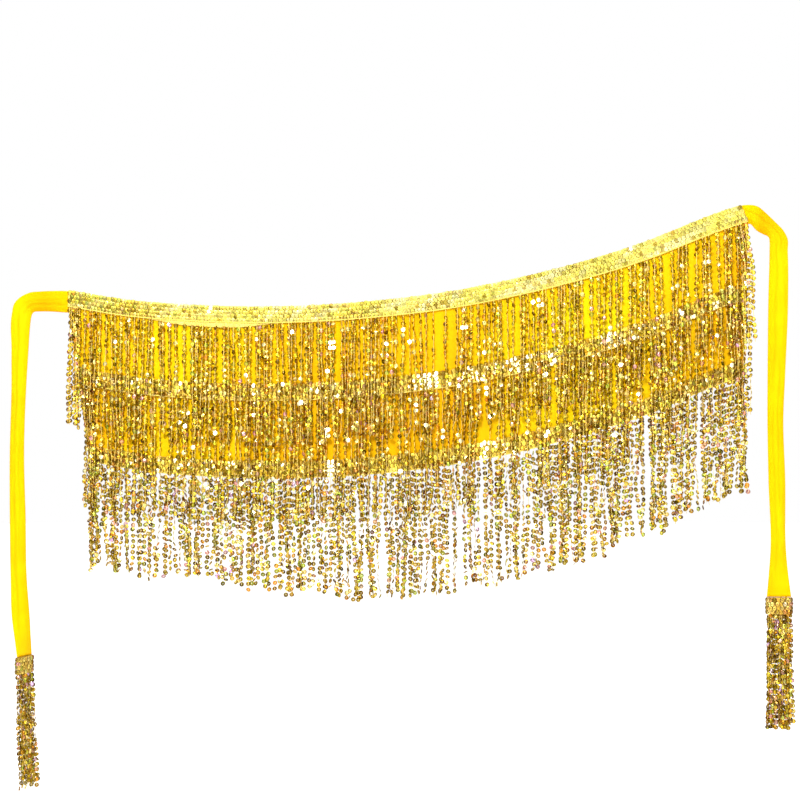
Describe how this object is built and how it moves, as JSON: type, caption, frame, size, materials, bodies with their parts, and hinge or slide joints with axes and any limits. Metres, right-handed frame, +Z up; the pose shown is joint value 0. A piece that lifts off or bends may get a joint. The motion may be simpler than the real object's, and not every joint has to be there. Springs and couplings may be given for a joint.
{
  "type": "belly dance hip scarf",
  "caption": "Yellow cloth hip scarf with tiers of gold sequin fringe and two long ties ending in fringe tassels, held open by both ends of its waist.",
  "frame": {"origin": "the grip at the right-hand end of the waist, where a hand holds the root of the right tie", "axes": "+X along the waist from the left grip to the right grip, -Y out of the sequinned front, +Z up"},
  "size_m": [0.9863, 0.0385, 0.7338],
  "materials": {
    "yellow_cloth": "thin stretch knit, slightly see-through",
    "tie_cloth": "soft brushed knit",
    "gold_sequins": "glossy holographic gold sequins on thread"
  },
  "bodies": {
    "root": {"ground_panel": "yellow_cloth", "fringe_tier_1": "gold_sequins", "fringe_tier_2": "gold_sequins", "fringe_tier_3": "gold_sequins", "tie_left": "tie_cloth", "tie_right": "tie_cloth", "tassel_left": "gold_sequins", "tassel_right": "gold_sequins"}
  },
  "joints": []
}
